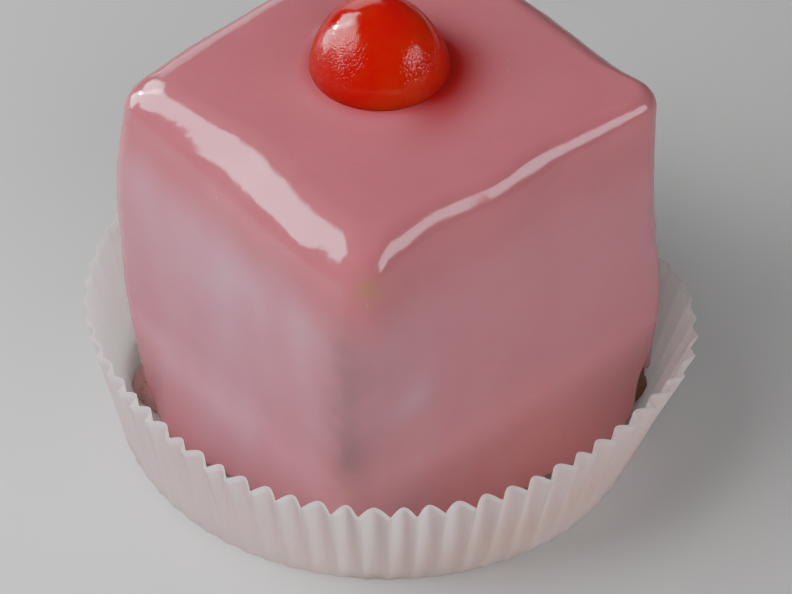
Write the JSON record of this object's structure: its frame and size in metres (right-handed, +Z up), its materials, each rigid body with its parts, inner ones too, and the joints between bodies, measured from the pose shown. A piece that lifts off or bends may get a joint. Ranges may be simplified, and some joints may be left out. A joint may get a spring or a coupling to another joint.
{
  "type": "punch cake square",
  "caption": "Small square sponge cake under a poured pink icing coat, with half a glazed cherry on top, standing in a round pleated paper case.",
  "frame": {"origin": "under the middle of the whole part, on the surface that the paper case stands on", "axes": "+Z up; X and Y at right angles to the cake's side faces, with the cake's front corner towards +X and -Y"},
  "size_m": [0.0784, 0.0762, 0.0622],
  "materials": {
    "sponge": "punch-soaked sponge crumb, moist and matt",
    "icing": "poured sugar icing, smooth and glossy, slightly see-through",
    "cherry": "glazed candied fruit, wet gloss, see-through at the edges",
    "paper": "thin greaseproof paper, pleated, matt, light shines through"
  },
  "bodies": {
    "root": {"sponge": "sponge", "icing": "icing", "cherry": "cherry", "paper_case": "paper"}
  },
  "joints": []
}
